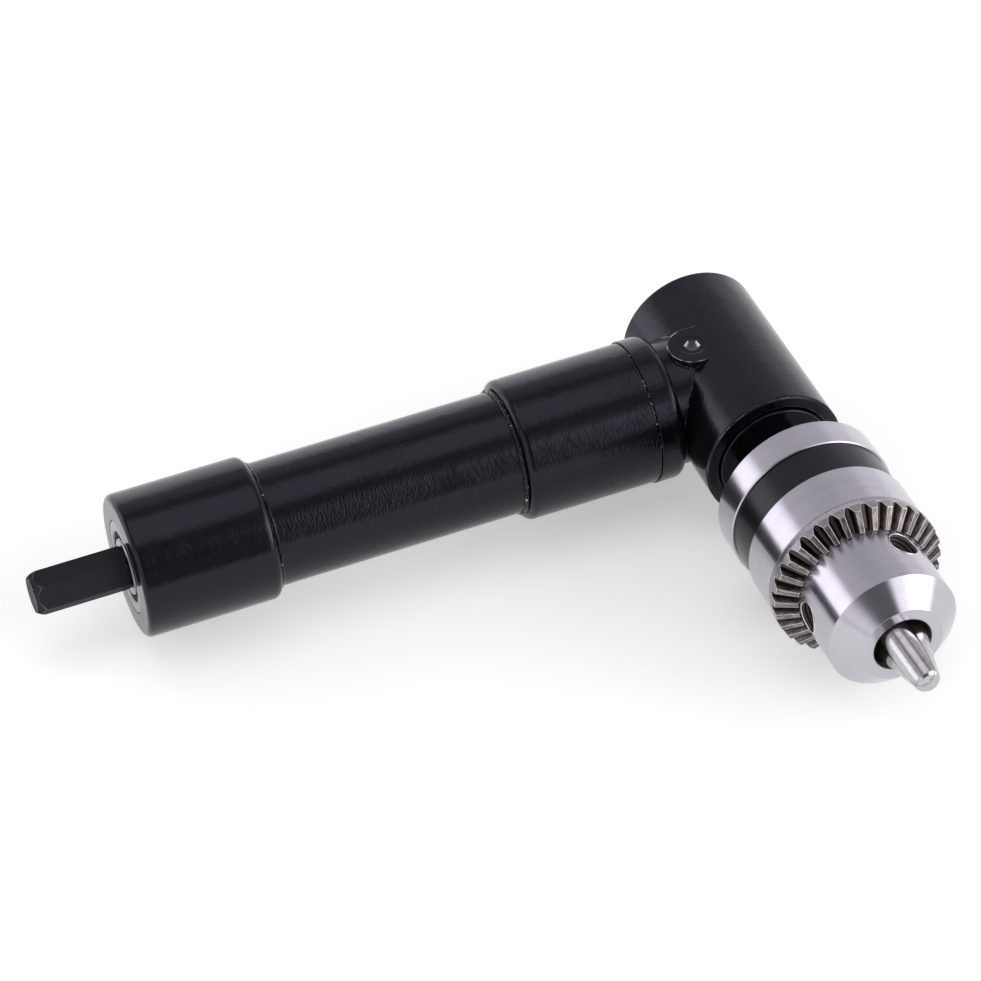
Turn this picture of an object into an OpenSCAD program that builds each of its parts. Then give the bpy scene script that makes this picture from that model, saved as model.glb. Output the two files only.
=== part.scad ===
// Right angle drill attachment: a hex shank turns a shaft inside a straight arm, a pair of
// bevel gears turns the drive through 90 degrees, and a keyed three-jaw chuck holds the bit.
// The arm lies along +X with its rear face at X = 0, the chuck points along -Y, +Z is up.

/* [Arm] */
// Distance from the rear face of the arm to the chuck's axis
arm_reach = 127; // [110:1:180]
// Outer diameter of the arm tube
tube_d = 25; // [24.6:0.1:25.4]
// Wall of the arm tube
tube_wall = 3.5; // [3.3:0.1:3.8]
// Outer diameter of the rear collar
collar_d = 29; // [28:0.5:32]
// Length of the rear collar
collar_len = 27.7; // [20:1:35]
// Radius on the collar's rear edge
collar_rear_round = 1.2; // [0.4:0.1:1.6]
// Radius on the collar's front edge
collar_front_round = 1.6; // [0.4:0.1:2]
// Outer diameter of the sleeve that joins the tube to the head
joint_sleeve_d = 28.8; // [28:0.2:31]
// Length of the joining sleeve
joint_sleeve_len = 27.6; // [24:1:34]
// Radius on the joining sleeve's rear edge
joint_sleeve_round = 1.5; // [0.4:0.1:1.6]
// Length of the head's spigot inside the joining sleeve
spigot_len = 14; // [12:1:18]

/* [Shank] */
// Width across the flats of the hex shank
shank_flats = 8; // [7.6:0.1:8.4]
// Length of the hex shank behind the arm
shank_len = 19.1; // [15:1:40]
// Width of the flat left on the shank's end by its turned chamfer
shank_end_d = 7.2; // [6:0.2:7.4]
// Slope of the turned chamfer to the shank's end face
shank_chamfer_angle = 60; // [45:5:70]
// Angle of one corner of the hex from the chuck's side of the arm
shank_turn = 7; // [0:1:59]

/* [Head] */
// Outer diameter of the head
head_d = 28.8; // [28.4:0.2:32]
// Length of the head behind the arm's axis
head_back = 19.5; // [19:0.5:24]
// Rounding of the head's rear edge
head_rear_round = 0.8; // [0.4:0.1:1.2]
// Rounding of the head's front rim
head_rim_round = 0.7; // [0.4:0.1:0.8]
// Diameter of the flange that meets the joining sleeve
flange_d = 29.4; // [28.8:0.2:31]
// Length of the flange along the arm
flange_len = 5.6; // [4.5:0.1:6.5]
// Radius on the flange's front edge
flange_round = 1.9; // [1:0.1:2]
// Diameter of the neck between flange and head
neck_d = 25.5; // [25:0.1:26]
// Distance from the head's axis to the front of the flange
neck_start = 14.2; // [13.8:0.1:15.5]
// Diameter of the screw boss on the neck
boss_d = 9.9; // [9:0.1:10.6]
// Height of the boss above the arm's axis
boss_top = 13.6; // [13.4:0.1:14]
// Distance of the boss from the head's axis
boss_setback = 7.2; // [6.8:0.1:7.6]
// Angle by which the boss leans from the top towards the chuck
boss_turn = 3; // [0:1:6]
// Thread diameter of the grease screw
screw_d = 5; // [4:0.5:5]
// Width across the flats of the grease screw's socket
screw_socket = 3; // [2:0.1:3.4]
// Depth of the grease screw's socket
screw_socket_depth = 2; // [1.4:0.1:2.4]
// Depth of the grease screw's end below the boss
screw_sink = 0.05; // [0.05:0.05:0.8]
// Thickness of the cap that closes the back of the head
cap_thickness = 3.5; // [3:0.1:3.8]

/* [Bearings] */
// Bore of the two arm bearings
arm_bearing_bore = 7; // [7:0.1:7.4]
// Outer diameter of the two arm bearings
arm_bearing_od = 19; // [18.9:0.1:19.2]
// Width of the two arm bearings
arm_bearing_width = 6; // [5.4:0.1:6.4]
// Bore of the spindle's rear bearing
rear_bearing_bore = 8; // [7.8:0.1:8.2]
// Outer diameter of the spindle's rear bearing
rear_bearing_od = 22; // [21.8:0.1:22.4]
// Width of the spindle's rear bearing
rear_bearing_width = 7; // [6.6:0.1:7.2]
// Bore of the spindle's front bearing
front_bearing_bore = 12; // [11.8:0.1:12.2]
// Outer diameter of the spindle's front bearing
front_bearing_od = 24; // [23.8:0.1:24.2]
// Width of the spindle's front bearing
front_bearing_width = 6; // [5.6:0.1:6.4]

/* [Bevel gears] */
// Number of teeth on each bevel gear
bevel_teeth = 13; // [12:1:14]
// Module of the bevel gears at the wide end
bevel_module = 1.2; // [1.15:0.01:1.22]
// Face width of the bevel gears
bevel_face = 3.2; // [2.8:0.1:3.4]
// Pressure angle of the bevel gears
pressure_angle = 20; // [18:0.5:22]
// Angle taken off each tooth flank so that the gears run free
bevel_backlash = 0.5; // [0.4:0.05:0.7]
// Diameter of the bevel gears' hubs
bevel_hub_d = 12.6; // [11.6:0.1:13]
// Diameter of the pins through the hubs
cross_pin_d = 2.5; // [2:0.1:3]

/* [Spindle] */
// Diameter of the spindle's collar between head and chuck
spindle_collar_d = 13; // [12.8:0.1:14]
// Diameter of the chuck's mounting thread
mount_thread_d = 9.5; // [9:0.1:10]
// Length of the chuck's mounting thread
mount_thread_len = 14; // [12:0.5:14.4]
// Outer diameter of the dust cap's raised lip
dust_lip_d = 23.1; // [22:0.1:23.4]
// Height of the dust cap's lip in front of the head's rim
dust_lip_out = 0.6; // [0.3:0.1:1]
// Thickness of the retaining ring in front of the front bearing
clip_thickness = 1.2; // [1:0.1:1.3]

/* [Chuck] */
// Gap between the head's rim and the chuck
chuck_gap = 11.1; // [8:0.1:16]
// Outer diameter of the chuck
chuck_d = 34; // [33.6:0.1:35]
// Length of the body's plain rear ring
rear_ring_len = 7; // [6.6:0.1:8]
// Length of the dark band behind the key sleeve
band_len = 7.7; // [7:0.1:8.4]
// Depth of the band below the chuck's surface
band_step = 0.45; // [0.2:0.05:0.6]
// Length of the key sleeve's plain grip
grip_len = 10; // [8.6:0.2:11]
// Length of the flared rim between the grip and the teeth
rim_len = 1.4; // [1:0.1:1.6]
// Outer diameter of the ring gear
ring_gear_d = 34.8; // [34.2:0.1:36]
// Number of teeth on the ring gear
ring_gear_teeth = 32; // [28:1:34]
// Depth of the ring gear's teeth at the outside
ring_tooth_depth = 1.9; // [1.5:0.1:2.1]
// Slope of the tooth tips across the chuck's axis
ring_gear_slope = 28; // [22:1:30]
// Width of a tooth's flat tip at the outside
tooth_tip_width = 1.15; // [0.9:0.05:1.3]
// Width of the flat bottom between two teeth at the outside
tooth_gap_width = 0.75; // [0.5:0.05:0.9]
// Diameter of the body in front of the key sleeve
nose_d = 26.4; // [26:0.1:27]
// Distance from the ring gear's inner edge to the start of the nose cone
nose_len = 13.2; // [12.6:0.1:16]
// Length of the nose cone
cone_len = 4.5; // [4:0.1:5.4]
// Diameter of the nose's flat end
nose_end_d = 16.6; // [15:0.2:18]
// Diameter of the hole in the nose
nose_hole_d = 11.9; // [11.5:0.1:12.4]
// Diameter of the three key holes
key_hole_d = 6; // [5.6:0.1:6.2]
// Distance from the ring gear's inner edge to the key holes' axis
key_hole_ahead = 3.8; // [3.6:0.1:5.5]
// Depth of the key holes
key_hole_depth = 5.7; // [5:0.1:5.8]
// Angle of the first key hole from the arm's side of the chuck
chuck_turn = 59; // [0:1:119]

/* [Jaws] */
// Diameter of the jaws
jaw_d = 6.4; // [6:0.1:6.6]
// Angle between a jaw and the chuck's axis
jaw_angle = 14; // [13:0.25:14.5]
// Distance of the closed jaws' tips in front of the nose
jaw_reach = 11.5; // [10.5:0.1:12]
// Diameter of the closed jaws over their tips
jaw_tip_d = 4.6; // [4.4:0.1:5]
// Length of the jaws along the chuck's axis
jaw_len = 37; // [36:0.1:37.4]
// Chamfer on the jaws' tips
jaw_tip_chamfer = 0.5; // [0.2:0.1:0.8]
// Chamfer on the jaws' tails
jaw_tail_len = 1.2; // [0.6:0.1:1.6]
// Largest bit that the chuck takes
chuck_capacity = 10; // [9:0.5:10]
// Width of the split nut
nut_width = 5; // [4.4:0.1:5.2]

/* [Hidden] */

$fn = 96;
// Clearance between a seat and the piece pressed into it
seat_gap = 0.02;
// Radial clearance of a shaft or sleeve that turns
run_gap = 0.05;
// Clearance between faces that pass each other
pass_gap = 0.3;
// Gap between two faces that butt with a visible line
seam_gap = 0.1;
// Half of the gap between two closed jaws
jaw_split_gap = 0.06;
// How far a cut runs past the face that it opens
overrun = 1;
// Steps in an edge's rounding
round_steps = 6;

// Rounding of the small turned edges
edge_break = 0.4;
// Chamfer at the front of the key sleeve's bore
sleeve_chamfer = 0.25;
// Depth of the dust cap's seat in the head
dust_cap_seat = 3.1;
// Distance of the pinion bearing's shoulder from the front of the flange
shoulder_inset = 0.6;
// Depth of the retaining ring's groove
clip_groove_depth = 0.6;
// Diameter of the space round the bevel gears
gear_cavity_d = 20.8;
// Dedendum of the bevel gears as a share of the module
bevel_root_share = 1.25;
// Depth of the tooth roots below the surface of the blank
root_sink = 0.1;
// Points along each involute flank
flank_steps = 6;

// Places along the arm
tube_bore = tube_d - 2 * tube_wall;
flange_front = arm_reach - neck_start;
flange_rear = flange_front - flange_len;
spigot_rear = flange_rear - spigot_len;
joint_sleeve_front = flange_rear - seam_gap;
joint_sleeve_rear = joint_sleeve_front - joint_sleeve_len;
tube_rear = arm_bearing_width + seat_gap;
arm_front_bearing_front = flange_front + shoulder_inset;
arm_front_bearing_rear = arm_front_bearing_front - arm_bearing_width;

// Bevel gear cone, with its apex where the two axes cross
pitch_angle = 45;
pitch_r = bevel_teeth * bevel_module / 2;
cone_r = pitch_r / sin(pitch_angle);
toe_r = cone_r - bevel_face;
base_angle = asin(sin(pitch_angle) * cos(pressure_angle));
tip_angle = pitch_angle + atan(bevel_module / cone_r);
root_angle = pitch_angle - atan(bevel_root_share * bevel_module / cone_r);
bevel_outer_r = cone_r * sin(tip_angle);
shoulder_bore = 2 * (bevel_outer_r + pass_gap);
hub_start = cone_r * (cos(root_angle) + sin(root_angle)) - bevel_hub_d / 2;
hub_end = arm_reach - arm_front_bearing_front;
pin_at = (hub_start + hub_end) / 2;
pin_r = cross_pin_d / 2;

// Depths along the chuck's axis, from the arm's axis towards the nose
rear_bearing_front = cap_thickness + rear_bearing_width + seat_gap - head_back;
front_bearing_rear = hub_end;
front_bearing_front = front_bearing_rear + front_bearing_width;
clip_front = front_bearing_front + clip_thickness;
clip_groove_r = front_bearing_od / 2 + clip_groove_depth;
head_front = clip_front + dust_cap_seat;
chuck_rear = head_front + chuck_gap;
rear_ring_front = chuck_rear + rear_ring_len;
band_rear = rear_ring_front + seam_gap;
grip_rear = band_rear + band_len;
rim_rear = grip_rear + grip_len;
rim_front = rim_rear + rim_len;
ring_gear_r = ring_gear_d / 2;
tooth_tip_depth = rim_front + ring_tooth_depth;
sleeve_bore_r = nose_d / 2 + run_gap;
gear_inner_r = sleeve_bore_r + sleeve_chamfer;
gear_apex = tooth_tip_depth + ring_gear_r * tan(ring_gear_slope);
gear_front = gear_apex - gear_inner_r * tan(ring_gear_slope);
cone_start = gear_front + nose_len;
nose_front = cone_start + cone_len;
key_hole_at = gear_front + key_hole_ahead;

// Jaws, with the outer side of each on one straight line
jaw_r = jaw_d / 2;
jaw_tip_at = nose_front + jaw_reach;
jaw_rear_at = jaw_tip_at - jaw_len;
function jaw_outer_r(depth) = jaw_tip_d / 2 + (jaw_tip_at - depth) * tan(jaw_angle);
jaw_axis_tip_r = jaw_tip_d / 2 - jaw_r / cos(jaw_angle);
jaw_travel = chuck_capacity / 2 / sin(jaw_angle);
jaw_rear_open_at = jaw_rear_at - jaw_travel * cos(jaw_angle);
// Length of the jaw bores behind the open jaws
jaw_bore_spare = 0.6;
jaw_bore_end = jaw_rear_open_at - jaw_bore_spare;
// Allowance of the tips' turned edge over the jaws' own outline
jaw_tip_over = 0.2;

// Split nut in its groove, inside the key sleeve's cavity
// Share of the space between the jaws and the chuck's surface that the cavity takes
cavity_share = 0.7012;
// Share of the grip behind the depth at which that space is taken
jaw_line_share = 0.4;
jaw_line_r = jaw_outer_r(grip_rear + grip_len * jaw_line_share);
cavity_r = jaw_line_r + (chuck_d / 2 - jaw_line_r) * cavity_share;
// Depth of the band's bore below the chuck's surface
band_bore_depth = 1.37;
band_bore_r = chuck_d / 2 - band_bore_depth;
// Thickness between the cavity and the roots of the teeth, over that of the grip's wall
front_wall_share = 1.095;
sleeve_front_wall = (chuck_d / 2 - cavity_r) * front_wall_share;
nut_front = gear_apex - cavity_r * (gear_apex - rim_front) / ring_gear_r - sleeve_front_wall;
nut_rear = nut_front - nut_width;
// Depth of the nut's groove below the jaws' outer side
nut_groove_depth = 0.8;
nut_groove_r = jaw_outer_r(nut_front) - nut_groove_depth;
// Clearance between the nut's cone and the jaws
nut_gap = 0.1;
// Gap between the two halves of the nut
nut_split_gap = 0.1;
// Length of the land that guides the band
land_len = 3;
land_r = band_bore_r - run_gap;
// Share of the space between the jaws and the band that the body fills past the land
relief_share = 0.844;
relief_r = jaw_line_r + (band_bore_r - jaw_line_r) * relief_share;

// Chuck mounting thread and its locking screw
thread_front = chuck_rear + mount_thread_len;
web_thickness = 2;
web_front = thread_front + web_thickness;
lock_screw_d = 5;
lock_head_d = 8.6;
lock_head_len = 3;
lock_screw_len = 12;
lock_hole_len = 13;
lock_socket = 4;
bit_bore_share = 1.04;
bit_bore_d = chuck_capacity * bit_bore_share;
nose_bore_len = 4.5;

function arc(center, r, from, to) =
    [for (i = [0:round_steps])
        center + r * [cos(from + (to - from) * i / round_steps),
                      sin(from + (to - from) * i / round_steps)]];

// Turned solids: points are [radius, distance along the axis]
module turned(points) { rotate_extrude() polygon(points); }
module along_arm(x = 0) { translate([x, 0, 0]) rotate([0, 90, 0]) children(); }
module along_chuck(depth = 0) {
    translate([arm_reach, -depth, 0]) rotate([90, 0, 0]) children();
}
module around_chuck() { rotate(chuck_turn) children(); }

module ring(outer_r, inner_r, from, to) {
    translate([0, 0, from]) difference() {
        cylinder(r = outer_r, h = to - from);
        translate([0, 0, -overrun]) cylinder(r = inner_r, h = to - from + 2 * overrun);
    }
}

// A tube with one or both outer edges rounded
module rounded_tube(outer_r, inner_r, from, to, rear_round, front_round) {
    turned(concat(
        [[inner_r, from]],
        rear_round > 0
            ? arc([outer_r - rear_round, from + rear_round], rear_round, -90, 0)
            : [[outer_r, from]],
        front_round > 0
            ? arc([outer_r - front_round, to - front_round], front_round, 0, 90)
            : [[outer_r, to]],
        [[inner_r, to]]
    ));
}

// Ball bearing pieces, centred on the origin with the axis along Z
function race_mid(bore, od) = (bore + od) / 4;
function ball_r(bore, od, width) = sqrt((od - bore) * width / 2) * ball_share;
function inner_land(bore, od, width) = race_mid(bore, od) - ball_r(bore, od, width) * land_share;
function outer_land(bore, od, width) = race_mid(bore, od) + ball_r(bore, od, width) * land_share;
ball_share = 0.3;
land_share = 0.4;
cage_share = 0.22;
cage_len_share = 0.36;
seal_thickness = 0.4;
seal_sink = 0.25;
ball_gap = 0.03;
ring_edge = 0.25;

module race(inner_r, outer_r, bore, od, width) {
    rotate_extrude() difference() {
        polygon([
            [inner_r + ring_edge, -width / 2], [outer_r - ring_edge, -width / 2],
            [outer_r, ring_edge - width / 2], [outer_r, width / 2 - ring_edge],
            [outer_r - ring_edge, width / 2], [inner_r + ring_edge, width / 2],
            [inner_r, width / 2 - ring_edge], [inner_r, ring_edge - width / 2]
        ]);
        translate([race_mid(bore, od), 0]) circle(r = ball_r(bore, od, width) + ball_gap, $fn = 48);
    }
}
module bearing_outer(bore, od, width) {
    color("gainsboro") race(outer_land(bore, od, width), od / 2 - seat_gap, bore, od, width);
}
module bearing_inner(bore, od, width) {
    color("silver") race(bore / 2 + seat_gap, inner_land(bore, od, width), bore, od, width);
}
module bearing_balls(bore, od, width, count) {
    color("lightsteelblue") for (i = [0:count - 1])
        rotate(i * 360 / count) translate([race_mid(bore, od), 0, 0])
            sphere(r = ball_r(bore, od, width), $fn = 32);
}
module bearing_cage(bore, od, width, count) {
    half = ball_r(bore, od, width) * cage_share;
    half_len = width * cage_len_share;
    color("goldenrod") difference() {
        ring(race_mid(bore, od) + half, race_mid(bore, od) - half, -half_len, half_len);
        for (i = [0:count - 1])
            rotate(i * 360 / count) rotate([0, 90, 0])
                translate([0, 0, race_mid(bore, od) - 2 * half])
                    cylinder(r = ball_r(bore, od, width) + 2 * ball_gap, h = 4 * half, $fn = 32);
    }
}
module bearing_seals(bore, od, width) {
    color("dimgray") for (side = [-1, 1])
        translate([0, 0, side * (width / 2 - seal_sink - seal_thickness / 2)])
            ring(outer_land(bore, od, width) - seat_gap, inner_land(bore, od, width) + pass_gap,
                 -seal_thickness / 2, seal_thickness / 2);
}
arm_balls = 7;
rear_balls = 7;
front_balls = 11;
arm_rear_bearing_mid = arm_bearing_width / 2;
arm_front_bearing_mid = arm_front_bearing_rear + arm_bearing_width / 2;
rear_bearing_mid = rear_bearing_front - rear_bearing_width / 2;
front_bearing_mid = front_bearing_rear + front_bearing_width / 2;

module arm_rear_bearing_outer() {
    along_arm(arm_rear_bearing_mid)
        bearing_outer(arm_bearing_bore, arm_bearing_od, arm_bearing_width);
}
module arm_rear_bearing_inner() {
    along_arm(arm_rear_bearing_mid)
        bearing_inner(arm_bearing_bore, arm_bearing_od, arm_bearing_width);
}
module arm_rear_bearing_balls() {
    along_arm(arm_rear_bearing_mid)
        bearing_balls(arm_bearing_bore, arm_bearing_od, arm_bearing_width, arm_balls);
}
module arm_rear_bearing_cage() {
    along_arm(arm_rear_bearing_mid)
        bearing_cage(arm_bearing_bore, arm_bearing_od, arm_bearing_width, arm_balls);
}
module arm_rear_bearing_seals() {
    along_arm(arm_rear_bearing_mid)
        bearing_seals(arm_bearing_bore, arm_bearing_od, arm_bearing_width);
}
module arm_front_bearing_outer() {
    along_arm(arm_front_bearing_mid)
        bearing_outer(arm_bearing_bore, arm_bearing_od, arm_bearing_width);
}
module arm_front_bearing_inner() {
    along_arm(arm_front_bearing_mid)
        bearing_inner(arm_bearing_bore, arm_bearing_od, arm_bearing_width);
}
module arm_front_bearing_balls() {
    along_arm(arm_front_bearing_mid)
        bearing_balls(arm_bearing_bore, arm_bearing_od, arm_bearing_width, arm_balls);
}
module arm_front_bearing_cage() {
    along_arm(arm_front_bearing_mid)
        bearing_cage(arm_bearing_bore, arm_bearing_od, arm_bearing_width, arm_balls);
}
module arm_front_bearing_seals() {
    along_arm(arm_front_bearing_mid)
        bearing_seals(arm_bearing_bore, arm_bearing_od, arm_bearing_width);
}
module spindle_rear_bearing_outer() {
    along_chuck(rear_bearing_mid)
        bearing_outer(rear_bearing_bore, rear_bearing_od, rear_bearing_width);
}
module spindle_rear_bearing_inner() {
    along_chuck(rear_bearing_mid)
        bearing_inner(rear_bearing_bore, rear_bearing_od, rear_bearing_width);
}
module spindle_rear_bearing_balls() {
    along_chuck(rear_bearing_mid)
        bearing_balls(rear_bearing_bore, rear_bearing_od, rear_bearing_width, rear_balls);
}
module spindle_rear_bearing_cage() {
    along_chuck(rear_bearing_mid)
        bearing_cage(rear_bearing_bore, rear_bearing_od, rear_bearing_width, rear_balls);
}
module spindle_rear_bearing_seals() {
    along_chuck(rear_bearing_mid)
        bearing_seals(rear_bearing_bore, rear_bearing_od, rear_bearing_width);
}
module spindle_front_bearing_outer() {
    along_chuck(front_bearing_mid)
        bearing_outer(front_bearing_bore, front_bearing_od, front_bearing_width);
}
module spindle_front_bearing_inner() {
    along_chuck(front_bearing_mid)
        bearing_inner(front_bearing_bore, front_bearing_od, front_bearing_width);
}
module spindle_front_bearing_balls() {
    along_chuck(front_bearing_mid)
        bearing_balls(front_bearing_bore, front_bearing_od, front_bearing_width, front_balls);
}
module spindle_front_bearing_cage() {
    along_chuck(front_bearing_mid)
        bearing_cage(front_bearing_bore, front_bearing_od, front_bearing_width, front_balls);
}
module spindle_front_bearing_seals() {
    along_chuck(front_bearing_mid)
        bearing_seals(front_bearing_bore, front_bearing_od, front_bearing_width);
}

// Rear collar: a stepped bush over the tube, with the rear bearing in its smaller bore
module rear_collar() {
    color("#26252a") along_arm() difference() {
        rounded_tube(collar_d / 2, arm_bearing_od / 2, 0, collar_len,
                     collar_rear_round, collar_front_round);
        translate([0, 0, tube_rear])
            cylinder(d = tube_d, h = collar_len - tube_rear + overrun);
    }
}

module arm_tube() {
    color("#2b2a2f") along_arm()
        ring(tube_d / 2 - seat_gap, tube_bore / 2, tube_rear, spigot_rear);
}

// Joining sleeve: holds the end of the tube and the head's spigot in line
module joint_sleeve() {
    color("#26252a") along_arm()
        rounded_tube(joint_sleeve_d / 2, tube_d / 2, joint_sleeve_rear, joint_sleeve_front,
                     joint_sleeve_round, 0);
}

// The casting's outside: head, neck, flange, spigot and boss
module head_solid() {
    head_r = head_d / 2;
    along_chuck() turned(concat(
        [[0, -head_back]],
        arc([head_r - head_rear_round, head_rear_round - head_back], head_rear_round, -90, 0),
        arc([head_r - head_rim_round, head_front - head_rim_round], head_rim_round, 0, 90),
        [[0, head_front]]
    ));
    along_arm() turned(concat(
        [[0, spigot_rear], [tube_d / 2 - seat_gap, spigot_rear],
         [tube_d / 2 - seat_gap, flange_rear], [flange_d / 2, flange_rear]],
        arc([flange_d / 2 - flange_round, flange_front - flange_round], flange_round, 0, 90),
        [[neck_d / 2, flange_front], [neck_d / 2, arm_reach], [0, arm_reach]]
    ));
    at_boss() linear_extrude(boss_top) {
        circle(d = boss_d);
        translate([0, -boss_d / 2]) square([boss_setback, boss_d]);
    }
}
module at_boss() {
    translate([arm_reach - boss_setback, 0, 0]) rotate([boss_turn, 0, 0]) children();
}

module head_casing() {
    color("#2b2a2f") difference() {
        head_solid();
        along_chuck() {
            translate([0, 0, -head_back - overrun])
                cylinder(d = front_bearing_od, h = cap_thickness + overrun);
            translate([0, 0, -head_back])
                cylinder(d = rear_bearing_od, h = head_back - -rear_bearing_front);
            translate([0, 0, -head_back])
                cylinder(d = gear_cavity_d, h = head_back + front_bearing_rear + overrun);
            translate([0, 0, front_bearing_rear])
                cylinder(d = front_bearing_od, h = head_front - front_bearing_rear + overrun);
            translate([0, 0, front_bearing_front])
                cylinder(r = clip_groove_r, h = clip_thickness);
        }
        along_arm() {
            translate([0, 0, spigot_rear - overrun])
                cylinder(d = arm_bearing_od,
                         h = arm_front_bearing_front - spigot_rear + overrun);
            translate([0, 0, spigot_rear])
                cylinder(d = shoulder_bore, h = arm_reach - spigot_rear);
        }
        at_boss() cylinder(d = screw_d, h = boss_top + overrun);
    }
}

module head_end_cap() {
    cap_r = front_bearing_od / 2 - seat_gap;
    relief = rear_bearing_width * cap_relief_share;
    color("#26252a") along_chuck() difference() {
        translate([0, 0, -head_back]) cylinder(r = cap_r, h = cap_thickness);
        translate([0, 0, cap_thickness - head_back - relief])
            cylinder(
                r = outer_land(rear_bearing_bore, rear_bearing_od, rear_bearing_width),
                h = relief + overrun
            );
    }
}
cap_relief_share = 0.15;

module grease_screw() {
    screw_top = boss_top - screw_sink;
    length = screw_top - shoulder_bore / 2 - pass_gap;
    color("#55565a") at_boss() translate([0, 0, screw_top - length]) difference() {
        cylinder(r = screw_d / 2 - run_gap, h = length);
        translate([0, 0, length - screw_socket_depth])
            cylinder(
                d1 = screw_socket * socket_root_share / cos(30),
                d2 = screw_socket / cos(30),
                h = screw_socket_depth,
                $fn = 6
            );
        translate([0, 0, length])
            cylinder(d = screw_socket / cos(30), h = overrun, $fn = 6);
    }
}
socket_root_share = 0.2;

module bearing_spacer() {
    color("#8f9094") along_arm()
        ring(arm_bearing_od / 2 - run_gap,
             outer_land(arm_bearing_bore, arm_bearing_od, arm_bearing_width),
             spigot_rear, arm_front_bearing_rear);
}

// Open ring with eyes, snapped into the groove in front of the front bearing
module retaining_ring() {
    ring_r = clip_groove_r - run_gap;
    inner_r = ring_r - clip_width;
    eye_r = clip_width * clip_eye_share;
    color("#3a3a3d") along_chuck(front_bearing_front + seat_gap)
        linear_extrude(clip_thickness - 2 * seat_gap) difference() {
            circle(r = ring_r);
            circle(r = inner_r);
            rotate(-90 - clip_opening / 2) polygon([
                [0, 0], [2 * ring_r, 0],
                2 * ring_r * [cos(clip_opening), sin(clip_opening)]
            ]);
            for (side = [-1, 1])
                rotate(-90 + side * (clip_opening / 2 + clip_eye_angle))
                    translate([(ring_r + inner_r) / 2, 0]) circle(r = eye_r, $fn = 24);
        }
}
clip_width = 2;
clip_eye_share = 0.3;
clip_opening = 24;
clip_eye_angle = 7;

// Black cap that covers the retaining ring, with a raised lip round the spindle
module dust_cap() {
    seat_r = front_bearing_od / 2 - seat_gap;
    hole_r = spindle_collar_d / 2 + pass_gap;
    lip_front = head_front + dust_lip_out;
    color("#1d1c1f") along_chuck() turned(concat(
        [[hole_r, clip_front], [seat_r, clip_front],
         [seat_r, head_front - dust_cap_seat * dust_step_share],
         [dust_lip_d / 2, head_front - dust_cap_seat * dust_step_share]],
        arc([dust_lip_d / 2 - edge_break, lip_front - edge_break], edge_break, 0, 90),
        [[hole_r, lip_front]]
    ));
}
dust_step_share = 0.4;

// Input shaft: one bar, hexagonal behind the arm and round inside it
module input_shaft() {
    shaft_r = arm_bearing_bore / 2;
    shaft_end = arm_reach - toe_r * cos(tip_angle) - shaft_end_back;
    corner_r = shank_flats / 2 / cos(30);
    chamfer_len = (corner_r - shank_end_d / 2) / tan(90 - shank_chamfer_angle);
    color("#3b3a3e") difference() {
        union() {
            along_arm() turned([
                [0, -shank_shoulder], [shaft_r, -shank_shoulder],
                [shaft_r, shaft_end - edge_break],
                [shaft_r - edge_break, shaft_end], [0, shaft_end]
            ]);
            intersection() {
                along_arm(-shank_len) rotate(shank_turn + 90)
                    cylinder(r = corner_r, h = shank_len, $fn = 6);
                along_arm() turned([
                    [0, -shank_len], [shank_end_d / 2, -shank_len],
                    [corner_r, chamfer_len - shank_len], [corner_r, -shank_shoulder],
                    [corner_r - shank_shoulder, 0], [0, 0]
                ]);
            }
        }
        translate([arm_reach - pin_at, 0, 0]) rotate([90, 0, 0])
            cylinder(r = pin_r, h = 2 * arm_bearing_bore, center = true);
    }
}
// Chamfer where the hex meets the rear bearing
shank_shoulder = 0.5;
// Distance of the shaft's end behind the pinion's tooth tips
shaft_end_back = 0.4;

// Angle swept by a spherical involute between its base cone and a polar angle
function involute_turn(angle) =
    acos(cos(angle) / cos(base_angle)) / sin(base_angle)
    - acos(tan(base_angle) / tan(angle));
function half_tooth(angle) =
    90 / bevel_teeth - bevel_backlash / 2
    + involute_turn(pitch_angle) - involute_turn(max(angle, base_angle));
function on_sphere(r, angle, turn) =
    r * [sin(angle) * cos(turn), sin(angle) * sin(turn), cos(angle)];
// One side of a tooth from below the root cone to its tip
function flank_angles() = concat(
    [root_angle - atan(root_sink / cone_r)],
    [for (i = [0:flank_steps]) base_angle + (tip_angle - base_angle) * i / flank_steps]);
function tooth_outline(r) = concat(
    [for (a = flank_angles()) on_sphere(r, a, -half_tooth(a))],
    [for (i = [flank_steps + 1:-1:0])
        on_sphere(r, flank_angles()[i], half_tooth(flank_angles()[i]))]);

module bevel_tooth() {
    n = 2 * (flank_steps + 2);
    polyhedron(
        points = concat(tooth_outline(toe_r), tooth_outline(cone_r)),
        faces = concat(
            [for (k = [0:flank_steps]) [k, k + 1, n - 2 - k, n - 1 - k]],
            [for (k = [0:flank_steps]) [2 * n - 1 - k, 2 * n - 2 - k, n + k + 1, n + k]],
            [for (i = [0:n - 1]) [n + i, n + (i + 1) % n, (i + 1) % n, i]]
        ),
        convexity = 4
    );
}

// Bevel gear with its apex at the origin, its axis along Z and its hub away from the apex
module bevel_wheel(bore_r, first_tooth) {
    hub_r = bevel_hub_d / 2;
    heel_root = cone_r * [sin(root_angle), cos(root_angle)];
    toe_root = toe_r * [sin(root_angle), cos(root_angle)];
    difference() {
        union() {
            turned([
                [0, toe_root[1]], toe_root, heel_root, [hub_r, hub_start],
                [hub_r, hub_end], [0, hub_end]
            ]);
            for (i = [0:bevel_teeth - 1])
                rotate((i + first_tooth) * 360 / bevel_teeth) bevel_tooth();
        }
        cylinder(r = bore_r, h = hub_end + overrun);
        translate([0, 0, pin_at]) rotate([0, 90, 0])
            cylinder(r = pin_r, h = 2 * bevel_hub_d, center = true);
    }
}

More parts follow.
